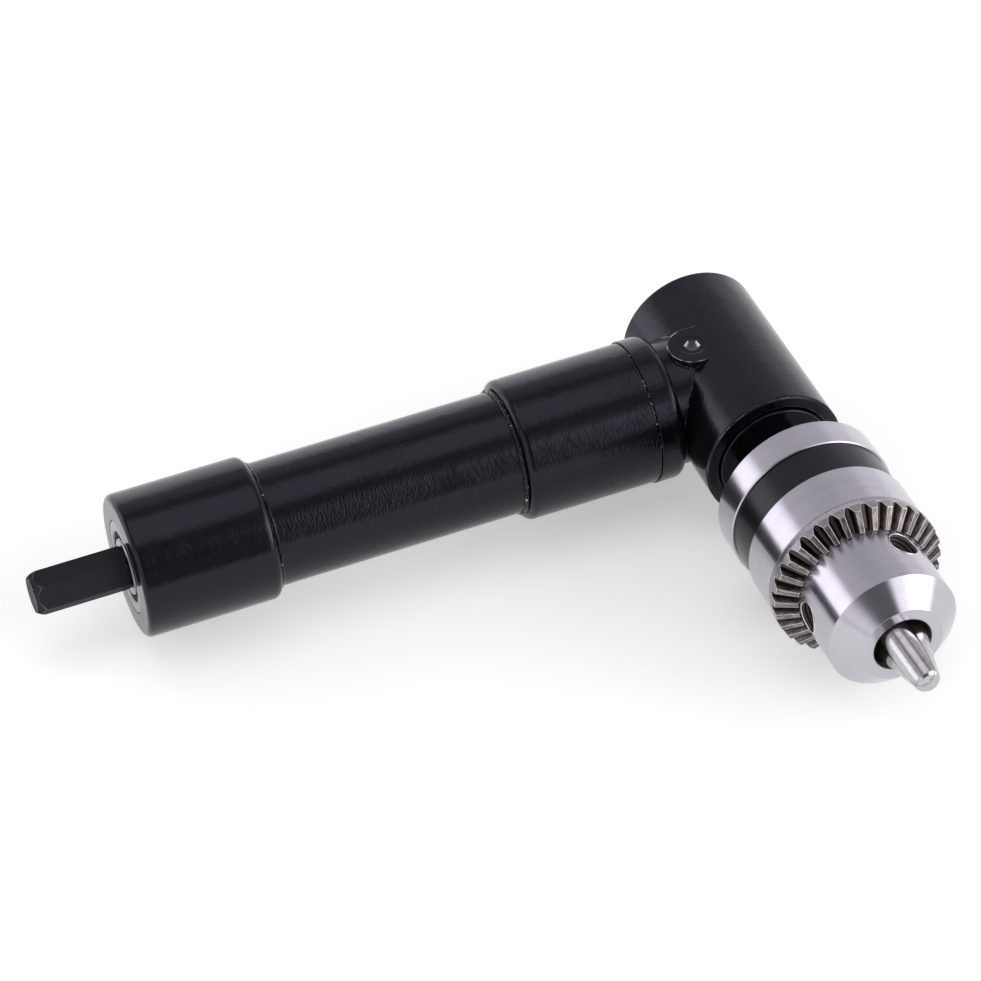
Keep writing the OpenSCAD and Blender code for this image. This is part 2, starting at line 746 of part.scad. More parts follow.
module bevel_pinion() {
    color("#b8b2a6") translate([arm_reach, 0, 0]) rotate([0, -90, 0]) rotate(-90)
        bevel_wheel(arm_bearing_bore / 2 + seat_gap, 0);
}
module gear_cross_pin() {
    cylinder(r = pin_r - seat_gap, h = bevel_hub_d - edge_break, center = true);
}
module pinion_pin() {
    color("#c9c9cc") translate([arm_reach - pin_at, 0, 0]) rotate([90, 0, 0]) gear_cross_pin();
}

// Spindle: rear journal, gear seat, front journal, collar and the chuck's mounting thread
module spindle() {
    collar_r = spindle_collar_d / 2;
    rear_r = rear_bearing_bore / 2;
    front_r = front_bearing_bore / 2;
    thread_r = mount_thread_d / 2;
    rear_end = rear_bearing_front - rear_bearing_width;
    color("#47464a") along_chuck() difference() {
        turned([
            [0, rear_end], [rear_r - edge_break, rear_end], [rear_r, rear_end + edge_break],
            [rear_r, front_bearing_rear], [front_r, front_bearing_rear],
            [front_r, front_bearing_front], [collar_r, front_bearing_front],
            [collar_r, chuck_rear - edge_break], [collar_r - edge_break, chuck_rear],
            [thread_r, chuck_rear], [thread_r, thread_front - edge_break],
            [thread_r - edge_break, thread_front], [0, thread_front]
        ]);
        translate([0, 0, thread_front - lock_hole_len])
            cylinder(d = lock_screw_d, h = lock_hole_len + overrun);
        translate([0, 0, pin_at]) rotate([0, 90, 0])
            cylinder(r = pin_r, h = 2 * rear_bearing_bore, center = true);
    }
}

module bevel_gear() {
    color("#b8b2a6") along_chuck() rotate(180)
        bevel_wheel(rear_bearing_bore / 2 + seat_gap, 1 / 2);
}
module gear_pin() {
    color("#c9c9cc") along_chuck(pin_at) rotate([0, 90, 0]) gear_cross_pin();
}

// A rod along one jaw's axis, with its end at a depth along the chuck and a run back from it
module jaw_rod(number, r, tip_at, length) {
    shift = (jaw_tip_at - tip_at) * tan(jaw_angle);
    rotate(number * 120 + 60) translate([jaw_axis_tip_r + shift, 0, tip_at])
        rotate([0, 180 - jaw_angle, 0]) cylinder(r = r, h = length);
}

// Chuck body: rear ring, land, cavity, nut groove and nose, bored for jaws, key and bit
module chuck_body() {
    chuck_r = chuck_d / 2;
    nose_r = nose_d / 2;
    color("#d3d3d6") along_chuck() around_chuck() difference() {
        turned([
            [0, chuck_rear], [chuck_r - edge_break, chuck_rear],
            [chuck_r, chuck_rear + edge_break],
            [chuck_r, rear_ring_front - edge_break / 2],
            [chuck_r - edge_break / 2, rear_ring_front], [land_r, rear_ring_front],
            [land_r, rear_ring_front + land_len],
            [relief_r, rear_ring_front + land_len],
            [relief_r, nut_rear - seam_gap], [nut_groove_r, nut_rear - seam_gap],
            [nut_groove_r, nut_front + seam_gap], [nose_r, nut_front + seam_gap],
            [nose_r, cone_start], [nose_end_d / 2, nose_front], [0, nose_front]
        ]);
        translate([0, 0, chuck_rear - overrun])
            cylinder(r = mount_thread_d / 2 + run_gap, h = mount_thread_len + overrun);
        translate([0, 0, chuck_rear])
            cylinder(r = lock_screw_d / 2 + run_gap, h = nose_front - chuck_rear);
        translate([0, 0, web_front]) cylinder(d = bit_bore_d, h = nose_front - web_front);
        translate([0, 0, nose_front - nose_bore_len])
            cylinder(d = nose_hole_d, h = nose_bore_len + overrun);
        for (i = [0:2]) {
            jaw_rod(i, jaw_r + run_gap, nose_front + overrun,
                    (nose_front + overrun - jaw_bore_end) / cos(jaw_angle));
            rotate(i * 120) translate([nose_r - key_hole_depth, 0, key_hole_at])
                rotate([0, 90, 0]) cylinder(d = key_hole_d, h = key_hole_depth + overrun);
        }
    }
}

module chuck_screw() {
    color("#5b5b60") along_chuck() difference() {
        union() {
            translate([0, 0, web_front]) cylinder(d = lock_head_d, h = lock_head_len);
            translate([0, 0, thread_front - lock_screw_len])
                cylinder(r = lock_screw_d / 2 - run_gap, h = lock_screw_len + web_thickness);
        }
        translate([0, 0, web_front + lock_head_len / 2])
            cylinder(d = lock_socket / cos(30), h = lock_head_len, $fn = 6);
    }
}

// The space between two ring gear teeth, tapering to the point where the tooth lines meet
module tooth_space() {
    top = (2 * PI * ring_gear_r / ring_gear_teeth - tooth_tip_width) / 2;
    bottom = tooth_gap_width / 2;
    lifted = bottom + (top - bottom) * space_lift_share;
    section = [
        [-bottom, rim_front], [bottom, rim_front],
        [lifted, rim_front + ring_tooth_depth * space_lift_share],
        [-lifted, rim_front + ring_tooth_depth * space_lift_share]
    ];
    polyhedron(
        points = [for (share = [space_inner_share, space_outer_share], p = section)
            [0, 0, gear_apex] + share * [ring_gear_r, p[0], p[1] - gear_apex]],
        faces = [[0, 1, 2, 3], [7, 6, 5, 4], [0, 4, 5, 1], [1, 5, 6, 2], [2, 6, 7, 3],
                 [3, 7, 4, 0]]
    );
}
space_outer_share = 1.1;
space_inner_share = 0.7;
space_lift_share = 1.1;

// Key sleeve: grip, flared rim and the bevelled ring gear that the key turns
module key_sleeve() {
    chuck_r = chuck_d / 2;
    color("#d9d9dc") along_chuck() around_chuck() difference() {
        turned([
            [cavity_r, grip_rear], [chuck_r - edge_break / 2, grip_rear],
            [chuck_r, grip_rear + edge_break / 2], [chuck_r, rim_rear],
            [ring_gear_r, rim_front], [ring_gear_r, tooth_tip_depth],
            [gear_inner_r, gear_front], [sleeve_bore_r, gear_front - sleeve_chamfer],
            [sleeve_bore_r, nut_front], [cavity_r, nut_front]
        ]);
        for (i = [0:ring_gear_teeth - 1])
            rotate((i + tooth_phase_share) * 360 / ring_gear_teeth) tooth_space();
    }
}
tooth_phase_share = 0.22;

// Dark band, fixed behind the key sleeve and turning with it
module sleeve_band() {
    color("#303034") along_chuck() ring(chuck_d / 2 - band_step, band_bore_r, band_rear, grip_rear);
}

// Half of the split nut that drives the jaws, its cone following their outer sides
module nut_half(side) {
    outer_r = cavity_r - seat_gap;
    color("#9b8f78") along_chuck() around_chuck() intersection() {
        turned([
            [jaw_outer_r(nut_rear) + nut_gap, nut_rear], [outer_r, nut_rear],
            [outer_r, nut_front], [jaw_outer_r(nut_front) + nut_gap, nut_front]
        ]);
        translate([-chuck_d, side > 0 ? nut_split_gap / 2 : -chuck_d - nut_split_gap / 2,
                   nut_rear - overrun])
            cube([2 * chuck_d, chuck_d, nut_width + 2 * overrun]);
    }
}
module nut_half_1() { nut_half(1); }
module nut_half_2() { nut_half(-1); }

// One jaw: an inclined rod, ground to a third of the circle so that the three close together
module jaw(number) {
    length = jaw_len / cos(jaw_angle);
    tail_r = jaw_r - jaw_tail_len;
    tip_r = jaw_tip_d / 2;
    color("#c6c6ca") along_chuck() around_chuck() intersection() {
        rotate(number * 120 + 60) translate([jaw_axis_tip_r, 0, jaw_tip_at])
            rotate([0, 180 - jaw_angle, 0]) translate([0, 0, -overrun]) turned([
                [0, 0], [jaw_r, 0], [jaw_r, length + overrun - jaw_tail_len],
                [tail_r, length + overrun], [0, length + overrun]
            ]);
        rotate(number * 120 + 60) translate([jaw_split_gap / cos(30), 0, 0])
            translate([0, 0, jaw_rear_at - overrun])
            linear_extrude(jaw_len + overrun)
                polygon([[0, 0], chuck_d * [cos(60), -sin(60)], [chuck_d, -chuck_d * sin(60)],
                         [chuck_d, chuck_d * sin(60)], chuck_d * [cos(60), sin(60)]]);
        turned([
            [0, jaw_rear_at - overrun], [chuck_d, jaw_rear_at - overrun],
            [chuck_d, nose_front], [tip_r + jaw_tip_over, jaw_tip_at - jaw_tip_chamfer],
            [tip_r + jaw_tip_over - jaw_tip_chamfer, jaw_tip_at], [0, jaw_tip_at]
        ]);
    }
}
module jaw_1() { jaw(0); }
module jaw_2() { jaw(1); }
module jaw_3() { jaw(2); }

rear_collar();
arm_tube();
joint_sleeve();
head_casing();
head_end_cap();
grease_screw();
bearing_spacer();
retaining_ring();
dust_cap();
input_shaft();
bevel_pinion();
pinion_pin();
spindle();
bevel_gear();
gear_pin();
chuck_body();
chuck_screw();
key_sleeve();
sleeve_band();
nut_half_1();
nut_half_2();
jaw_1();
jaw_2();
jaw_3();
arm_rear_bearing_outer();
arm_rear_bearing_inner();
arm_rear_bearing_balls();
arm_rear_bearing_cage();
arm_rear_bearing_seals();
arm_front_bearing_outer();
arm_front_bearing_inner();
arm_front_bearing_balls();
arm_front_bearing_cage();
arm_front_bearing_seals();
spindle_rear_bearing_outer();
spindle_rear_bearing_inner();
spindle_rear_bearing_balls();
spindle_rear_bearing_cage();
spindle_rear_bearing_seals();
spindle_front_bearing_outer();
spindle_front_bearing_inner();
spindle_front_bearing_balls();
spindle_front_bearing_cage();
spindle_front_bearing_seals();
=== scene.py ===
import math
import random

import bpy
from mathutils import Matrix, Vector


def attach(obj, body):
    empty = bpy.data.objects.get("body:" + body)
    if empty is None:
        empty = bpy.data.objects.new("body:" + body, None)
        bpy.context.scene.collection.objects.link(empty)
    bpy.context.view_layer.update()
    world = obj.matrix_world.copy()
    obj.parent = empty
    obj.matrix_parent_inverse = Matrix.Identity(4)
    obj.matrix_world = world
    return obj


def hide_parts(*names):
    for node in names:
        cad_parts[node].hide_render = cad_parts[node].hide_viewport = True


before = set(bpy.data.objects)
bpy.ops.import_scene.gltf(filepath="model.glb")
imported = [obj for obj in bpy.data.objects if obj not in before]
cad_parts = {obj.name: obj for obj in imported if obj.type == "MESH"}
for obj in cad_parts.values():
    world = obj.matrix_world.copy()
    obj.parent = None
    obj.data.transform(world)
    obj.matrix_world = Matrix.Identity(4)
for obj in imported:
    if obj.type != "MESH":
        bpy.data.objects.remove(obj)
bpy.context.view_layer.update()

# Lengths are in millimetres, in the CAD's frame, and colours are linear
MM = 0.001
REACH = 127.0         # the chuck's axis along X
HEAD_R = 14.4         # outside of the head
NECK_R = 12.75        # outside of the neck between the joining sleeve and the head
CAP_R = 12.0          # outside of the cap in the head's front
STROKE_R = 13.5       # radius at which the arm's brush strokes have their width

# Places along the arm
COLLAR_FRONT = (26.0, 29.0)
SEAM_AT = 107.15
TURNED_TIP = (-17.9, -16.9)

# Places along the chuck, and radii from its axis
FLARE_FROM = (59.45, 59.75)
TEETH_FROM = (61.1, 61.25)
GEAR_R, GEAR_TIP, GEAR_LEAN = 17.4, 63.1, 28.0
KEY_HOLES_ALONG = ((65.4, 65.6), (72.3, 72.6))
KEY_HOLES_INSIDE = (12.95, 13.08)
NOSE_HOLE_FROM = (76.0, 77.0)
NOSE_HOLE_INSIDE = (6.0, 6.15)

# Colours
STEEL = (0.525, 0.508, 0.55)
SHADOW_STEEL = (0.50, 0.48, 0.45)
PLAIN_STEEL = (0.60, 0.60, 0.61)
RACE_STEEL = (0.72, 0.72, 0.73)
BALL_STEEL = (0.82, 0.82, 0.83)
BRASS = (0.70, 0.55, 0.28)
PAINT_BLACK = (0.0026, 0.0022, 0.0031)
PAINT_DUST = (0.04, 0.04, 0.045)
BARE_SPECK = (0.62, 0.61, 0.60)
GRIME = (0.16, 0.125, 0.10)
# painted light and shade: light and dark rings for the key holes' thread ribs, and a flat dark
# tone for the shade inside the nose's bore
HOLE_RIB_LIGHT_AND_SHADE = (0.045, 0.038, 0.034), (0.24, 0.22, 0.205)
NOSE_INSIDE_SHADE = (0.17, 0.165, 0.14)
FLARE_GREYS = (0.24, 0.232, 0.245), (0.38, 0.368, 0.385)
LAND_TONES = (0.125, 0.108, 0.102), (0.32, 0.30, 0.30)
# painted shade deep in the teeth's valleys
TOOTH_VALLEY_SHADE = (0.075, 0.058, 0.05)
# painted highlight along the teeth's tips and the rim
TOOTH_EDGE_HIGHLIGHT = (0.80, 0.785, 0.79)

# Shader settings
LINES_PER_MM = 9.0    # fine turning lines
STROKES_ALONG, STROKES_ROUND = 2.6, 0.55  # brush strokes per millimetre
QUARTER_TURN = 0.25   # anisotropic rotation, from the tangent
WORN_WIDTH = 0.35 * MM    # how far the wear of blackened steel reaches from an edge
PAINT_LEVEL = 0.30    # specular level of the paint and of its worn edges
PAINT_TINT = (0.98, 0.93, 1.15)
OXIDE_TINT = (0.35, 0.35, 0.37)


# ---------------------------------------------------------------- node helpers

class Net:
    """Small helper around a node tree"""

    def __init__(self, tree):
        self.n = tree.nodes
        self.l = tree.links
        self.n.clear()

    def add(self, kind, **props):
        node = self.n.new(kind)
        for k, v in props.items():
            setattr(node, k, v)
        return node

    def put(self, socket, value):
        """Links a socket, or sets a value on it"""
        if isinstance(value, bpy.types.NodeSocket):
            self.l.new(value, socket)
        elif isinstance(value, (tuple, list)) and len(value) == 3 and socket.type == "RGBA":
            socket.default_value = (*value, 1.0)
        else:
            socket.default_value = value

    def math(self, op, a, b=None, c=None, clamp=False):
        m = self.add("ShaderNodeMath", operation=op, use_clamp=clamp)
        self.put(m.inputs[0], a)
        if b is not None:
            self.put(m.inputs[1], b)
        if c is not None:
            self.put(m.inputs[2], c)
        return m.outputs[0]

    def vmath(self, op, a, b=None):
        m = self.add("ShaderNodeVectorMath", operation=op)
        self.put(m.inputs[0], a)
        if b is not None:
            self.put(m.inputs[1], b)
        return m.outputs["Value" if op in ("DOT_PRODUCT", "LENGTH") else "Vector"]

    def step(self, v, lo, hi, a=0.0, b=1.0):
        """Goes smoothly from a to b while v goes from lo to hi"""
        m = self.add("ShaderNodeMapRange", interpolation_type="SMOOTHSTEP", clamp=True)
        self.put(m.inputs["Value"], v)
        self.put(m.inputs["From Min"], lo)
        self.put(m.inputs["From Max"], hi)
        self.put(m.inputs["To Min"], a)
        self.put(m.inputs["To Max"], b)
        return m.outputs[0]

    def mix(self, fac, a, b):
        m = self.add("ShaderNodeMix", data_type="RGBA")
        self.put(m.inputs["Factor"], fac)
        self.put(m.inputs[6], a)
        self.put(m.inputs[7], b)
        return m.outputs[2]

    def noise(self, vec, scale, detail, rough=0.5):
        """Noise from 0 to 1 that changes about scale times per unit of vec"""
        m = self.add("ShaderNodeTexNoise")
        self.put(m.inputs["Vector"], vec)
        m.inputs["Scale"].default_value = scale
        m.inputs["Detail"].default_value = detail
        m.inputs["Roughness"].default_value = rough
        return m.outputs["Fac"]

    def xyz(self, x, y, z):
        m = self.add("ShaderNodeCombineXYZ")
        self.put(m.inputs[0], x)
        self.put(m.inputs[1], y)
        self.put(m.inputs[2], z)
        return m.outputs[0]

    def split(self, v):
        m = self.add("ShaderNodeSeparateXYZ")
        self.put(m.inputs[0], v)
        return m.outputs

    def bump(self, height, distance, strength, normal=None):
        m = self.add("ShaderNodeBump")
        m.inputs["Strength"].default_value = strength
        m.inputs["Distance"].default_value = distance
        self.put(m.inputs["Height"], height)
        if normal is not None:
            self.put(m.inputs["Normal"], normal)
        return m.outputs[0]

    def principled(self, values):
        """Links or sets inputs of the Principled shader"""
        for name, value in values.items():
            self.put(self.bsdf.inputs[name], value)

    def bevel(self, radius, samples=6):
        m = self.add("ShaderNodeBevel", samples=samples)
        m.inputs["Radius"].default_value = radius
        return m.outputs[0]


mats = {}


def material(name):
    """A new material with one Principled shader, kept in mats"""
    m = mats[name] = bpy.data.materials.new(name)
    m.use_nodes = True
    net = Net(m.node_tree)
    out = net.add("ShaderNodeOutputMaterial")
    net.bsdf = net.add("ShaderNodeBsdfPrincipled")
    net.l.new(net.bsdf.outputs[0], out.inputs["Surface"])
    return net


def place(net):
    """The CAD's coordinates in millimetres"""
    tc = net.add("ShaderNodeTexCoord")
    p = net.vmath("SCALE", tc.outputs["Object"])
    p.node.inputs["Scale"].default_value = 1 / MM
    return p


def turned(net, axis):
    """Place in millimetres, and round the arm ('arm') or the chuck ('chuck') the place
    along the axis, the radius and the angle in radians"""
    p = place(net)
    x, y, z = net.split(p)
    if axis == "arm":
        along, u, v = x, y, z
    else:
        along, u, v = net.math("MULTIPLY", y, -1.0), net.math("SUBTRACT", x, REACH), z
    r = net.math("SQRT", net.math("ADD", net.math("MULTIPLY", u, u), net.math("MULTIPLY", v, v)))
    return p, along, r, net.math("ARCTAN2", u, v)


def brushed(net, axis, p, amount):
    """Stretches the reflections across the lines that run round the axis"""
    if axis == "arm":
        line, centre = (1.0, 0.0, 0.0), p
    else:
        x, y, z = net.split(p)
        line, centre = (0.0, -1.0, 0.0), net.xyz(net.math("SUBTRACT", x, REACH), y, z)
    tan = net.vmath("NORMALIZE", net.vmath("CROSS_PRODUCT", line, centre))
    vt = net.add("ShaderNodeVectorTransform", vector_type="VECTOR",
                 convert_from="OBJECT", convert_to="WORLD")
    net.put(vt.inputs[0], tan)
    net.principled({"Tangent": vt.outputs[0], "Anisotropic": amount})


# ------------------------------------------------------------------- materials

def paint(name, axis, radius, streak=1.0, leather=0.55):
    """Glossy black paint: fine orange peel, and brush-like strokes where it was brushed on"""
    n = material(name)
    p, along, _, ang = turned(n, axis)
    arc = n.math("MULTIPLY", ang, radius)
    strokes = n.noise(n.xyz(n.math("MULTIPLY", along, STROKES_ALONG),
                            n.math("MULTIPLY", arc, STROKES_ROUND), 0.0), 1.0, 2.0, 0.55)
    patch = n.step(n.noise(p, 0.06, 1.0), 0.40, 0.62)
    amount = n.math("MULTIPLY_ADD", patch, 0.75, 0.25)
    if axis == "arm":
        # the collar is nearly smooth
        amount = n.math("MULTIPLY", amount, n.step(along, *COLLAR_FRONT, 0.06, 1.0))
    relief = n.bevel(0.28 * MM, 8)
    for height, depth, strength in (
            (n.noise(p, 0.2, 2.0), 0.22, 0.35),                         # orange peel
            (n.math("MULTIPLY", strokes, amount), 0.10, 0.7 * streak),  # brush strokes
            (n.noise(p, 1.1, 3.0, 0.6), 0.04, leather),                 # grain
            (n.noise(p, 2.6, 1.0), 0.02, 0.4)):                         # pits
        relief = n.bump(height, depth * MM, strength, relief)
    dust = n.step(n.noise(p, 2.2, 1.0, 0.4), 0.70, 0.76)
    base = n.mix(n.math("MULTIPLY", dust, 0.22), PAINT_BLACK, PAINT_DUST)
    if axis == "arm":
        # paint cracked along the seam, with bare specks
        off = n.math("ABSOLUTE", n.math("SUBTRACT", along, SEAM_AT))
        chips = n.step(n.noise(p, 0.9, 4.0, 0.7), 0.56, 0.60)
        bare = n.math("MULTIPLY", n.step(off, 0.12, 0.34, 1.0, 0.0), chips)
        base = n.mix(bare, base, BARE_SPECK)
    n.principled({"Base Color": base, "Roughness": n.math("MULTIPLY_ADD", strokes, 0.10, 0.10),
                  "IOR": 1.5, "Specular IOR Level": PAINT_LEVEL, "Specular Tint": PAINT_TINT,
                  "Normal": relief})


def steel(name, axis, colour, rough, aniso, lines=1.0, grime=0.0, edge=0.15 * MM,
          teeth=False, holes=False):
    """Turned or ground steel with fine lines round its axis"""
    n = material(name)
    p, along, r, ang = turned(n, axis)
    grooves = n.noise(n.xyz(n.math("MULTIPLY", along, LINES_PER_MM),
                            n.math("MULTIPLY", r, LINES_PER_MM),
                            n.math("MULTIPLY", ang, 0.35)), 1.0, 3.0, 0.65)
    broad = n.noise(n.xyz(n.math("MULTIPLY", along, 0.55), n.math("MULTIPLY", r, 0.55),
                          n.math("MULTIPLY", ang, 0.5)), 1.0, 2.0)
    base = n.mix(n.step(broad, 0.3, 0.7), tuple(c * 0.95 for c in colour), colour)
    base = n.mix(n.step(grooves, 0.62, 0.8, 0.0, 0.3), base, tuple(c * 0.7 for c in colour))
    if grime:
        spots = n.step(n.noise(p, 0.9, 4.0, 0.6), 0.48, 0.68)
        base = n.mix(n.math("MULTIPLY", spots, grime), base, GRIME)
    metal, extra = 1.0, 0.0
    if holes:
        # painted light and shade inside the key holes and the nose: light and dark rings stand
        # for the lit and shaded ribs of the key holes' threads, a flat dark tone stands for the
        # shade in the nose's bore, and both are made less metallic
        rear, front = KEY_HOLES_ALONG
        across = n.math("MULTIPLY", n.step(r, *KEY_HOLES_INSIDE, 1.0, 0.0),
                        n.math("MULTIPLY", n.step(along, *rear), n.step(along, *front, 1.0, 0.0)))
        nose = n.math("MULTIPLY", n.step(along, *NOSE_HOLE_FROM),
                      n.step(r, *NOSE_HOLE_INSIDE, 1.0, 0.0))
        rib_light_and_shade = n.math("SINE", n.math("MULTIPLY", r, 7.5))
        inner = n.mix(n.step(rib_light_and_shade, -0.4, 0.6), *HOLE_RIB_LIGHT_AND_SHADE)
        base = n.mix(across, base, inner)
        base = n.mix(nose, base, NOSE_INSIDE_SHADE)
        metal = n.math("MULTIPLY_ADD", n.math("MAXIMUM", across, nose), -0.75, 1.0)
    if teeth:
        # grey, grainy flare behind the ring gear, then cut teeth with painted shade, dark brown
        # deeper in their flanks and valleys
        grain = n.noise(p, 2.8, 4.0, 0.6)
        flare = n.step(n.math("ADD", along, n.math("MULTIPLY", grain, 0.25)), *FLARE_FROM)
        base = n.mix(flare, base, n.mix(n.step(grain, 0.35, 0.65), *FLARE_GREYS))
        extra = n.math("MULTIPLY", flare, 0.14)
        # depth below the cone that the teeth's tips lie on
        tip = n.math("MULTIPLY_ADD", n.math("SUBTRACT", GEAR_R, r),
                     math.tan(math.radians(GEAR_LEAN)), GEAR_TIP)
        below = n.math("SUBTRACT", tip, along)
        in_gear = n.step(along, *TEETH_FROM)
        inside = n.step(r, GEAR_R - 0.06, GEAR_R - 0.02, 1.0, 0.0)
        uneven = n.math("MULTIPLY", n.math("SUBTRACT", grain, 0.5), 0.7)
        # painted shade: darker brown the deeper a point lies below the teeth's tips
        valley_shade = n.step(n.math("ADD", below, uneven), 0.12, 1.5)
        cut = n.noise(n.xyz(n.math("MULTIPLY", ang, 45.0), n.math("MULTIPLY", r, 0.35), along),
                      1.0, 3.0, 0.6)
        land = n.mix(n.step(cut, 0.40, 0.62), *LAND_TONES)
        base = n.mix(n.math("MULTIPLY", in_gear, inside), base, n.mix(valley_shade, land, TOOTH_VALLEY_SHADE))
        # painted highlight: bright colour along the edges of the teeth's tips and of the rim
        geo = n.add("ShaderNodeNewGeometry")
        turn = n.vmath("DOT_PRODUCT", n.bevel(0.22 * MM, 8), geo.outputs["Normal"])
        edge_highlight = n.math("MULTIPLY", n.step(n.math("SUBTRACT", 1.0, turn), 0.012, 0.06),
                       n.math("MAXIMUM", n.step(below, 0.3, 0.6, 1.0, 0.0),
                              n.step(r, GEAR_R - 0.3, GEAR_R - 0.15)))
        base = n.mix(n.math("MULTIPLY", edge_highlight, in_gear), base, TOOTH_EDGE_HIGHLIGHT)
    shine = n.math("MULTIPLY_ADD", grooves, 0.12, rough - 0.06)
    brushed(n, axis, p, aniso)
    n.principled({"Base Color": base, "Metallic": metal,
                  "Roughness": n.math("ADD", shine, extra), "Anisotropic Rotation": QUARTER_TURN,
                  "Normal": n.bump(grooves, 0.006 * MM, 0.45 * lines,
                                   n.bevel(edge) if edge else None)})


def oxide(name, axis, colour, worn, rough=0.32, tip=False):
    """Blackened steel, worn bright along its edges"""
    n = material(name)
    p, along, _, _ = turned(n, axis)
    geo = n.add("ShaderNodeNewGeometry")
    soft = n.bevel(WORN_WIDTH, 8)
    off = n.math("SUBTRACT", 1.0, n.vmath("DOT_PRODUCT", soft, geo.outputs["Normal"]))
    scuff = n.noise(p, 1.4, 4.0, 0.65)
    wear = n.math("MULTIPLY", n.step(off, 0.015, 0.09), n.step(scuff, 0.36, 0.56), clamp=True)
    if tip:
        # the shank is worn at its turned end only
        wear = n.math("MULTIPLY", wear, n.step(along, *TURNED_TIP, 1.0, 0.0))
    spots = n.step(n.noise(p, 0.55, 5.0, 0.7), 0.60, 0.74, 0.0, 0.35)
    base = n.mix(spots, colour, tuple(c * 2.4 for c in colour))
    brushed(n, axis, p, 0.2)
    n.principled({"Base Color": n.mix(wear, base, worn), "Metallic": 0.85,
                  "Specular IOR Level": 0.3, "Specular Tint": OXIDE_TINT,
                  "Roughness": n.math("MULTIPLY_ADD", scuff, 0.16, rough - 0.08),
                  "Normal": n.bump(scuff, 0.02 * MM, 0.35, soft)})


def satin(name, axis, colour, rough, level=0.28):
    """Plain satin black, for the bare band and the seals"""
    n = material(name)
    p, along, r, ang = turned(n, axis)
    fine = n.noise(n.xyz(n.math("MULTIPLY", along, 4.0), n.math("MULTIPLY", r, 4.0),
                         n.math("MULTIPLY", ang, 0.6)), 1.0, 3.0, 0.6)
    grain = n.step(n.noise(p, 3.5, 2.0), 0.4, 0.7, 0.0, 0.5)
    n.principled({"Base Color": n.mix(grain, colour, tuple(c * 1.7 for c in colour)),
                  "Roughness": n.math("MULTIPLY_ADD", fine, 0.14, rough - 0.07),
                  "Specular IOR Level": level,
                  "Normal": n.bump(fine, 0.01 * MM, 0.4, n.bevel(0.2 * MM))})


def worn_edge_and_glint(name, bare, cover, share, size=0.42, gloss=0.2):
    """Thin edge where the paint has worn through in places; the bare grey also stands for the
    edge's glints, a painted highlight
    """
    n = material(name)
    p = place(n)
    bare_and_glint_mask = n.step(n.noise(p, size, 3.0, 0.6), share - 0.05, share + 0.05)
    n.principled({"Base Color": n.mix(bare_and_glint_mask, cover, bare),
                  "Metallic": n.math("MULTIPLY", bare_and_glint_mask, 0.9),
                  "Roughness": n.math("MULTIPLY_ADD", n.noise(p, 4.0, 2.0), 0.2, gloss),
                  "Specular IOR Level": PAINT_LEVEL})


paint("arm_paint", "arm", STROKE_R)
paint("head_paint", "chuck", HEAD_R, streak=0.45, leather=1.0)
paint("cap_paint", "chuck", CAP_R, streak=0.4)
paint("screw_paint", "chuck", HEAD_R, streak=0.2)
steel("turned_steel", "chuck", STEEL, rough=0.18, aniso=0.78, holes=True)
steel("sleeve_steel", "chuck", STEEL, rough=0.18, aniso=0.78, teeth=True)
steel("jaw_ground", "chuck", (0.53, 0.52, 0.53), rough=0.17, aniso=0.4, grime=0.3)
steel("gear_cut", "chuck", SHADOW_STEEL, rough=0.3, aniso=0.2, grime=0.3)
steel("gear_cut_arm", "arm", SHADOW_STEEL, rough=0.3, aniso=0.2, grime=0.3)
for axis in ("arm", "chuck"):
    steel("machined_" + axis, axis, PLAIN_STEEL, rough=0.25, aniso=0.4)
    steel("ball_" + axis, axis, BALL_STEEL, rough=0.1, aniso=0.0, lines=0.3)
    steel("brass_" + axis, axis, BRASS, rough=0.3, aniso=0.2, lines=0.8)
steel("race_arm", "arm", (0.24, 0.235, 0.26), rough=0.26, aniso=0.4, lines=0.7)
steel("race_chuck", "chuck", RACE_STEEL, rough=0.16, aniso=0.4, lines=0.7)
steel("hole_rim", "chuck", (0.72, 0.71, 0.73), rough=0.22, aniso=0.0)
steel("socket_steel", "chuck", (0.30, 0.30, 0.31), rough=0.15, aniso=0.0, lines=0.5, edge=0)
oxide("shank_oxide", "arm", (0.034, 0.033, 0.037), worn=(0.52, 0.51, 0.52), tip=True)
oxide("spindle_oxide", "chuck", (0.035, 0.035, 0.038), worn=(0.3, 0.3, 0.3))
oxide("screw_black", "chuck", (0.022, 0.022, 0.026), worn=(0.12, 0.12, 0.13), rough=0.3)
satin("band_satin", "chuck", (0.0055, 0.0056, 0.0085), rough=0.24)
satin("seal_arm", "arm", (0.010, 0.010, 0.011), rough=0.5, level=0.04)
satin("seal_chuck", "chuck", (0.012, 0.012, 0.013), rough=0.45)
# worn paint on beads, edges and seams: its bare grey also stands for their glints, a painted
# highlight
worn_edge_and_glint("bead_arm_glint", bare=(0.45, 0.44, 0.46), cover=(0.0035, 0.003, 0.004), share=0.66,
          size=1.1, gloss=0.08)
worn_edge_and_glint("edge_head_glint", bare=(0.36, 0.35, 0.37), cover=(0.025, 0.025, 0.028), share=0.50)
worn_edge_and_glint("weld_head_glint", bare=(0.20, 0.195, 0.21), cover=(0.01, 0.01, 0.011), share=0.53)

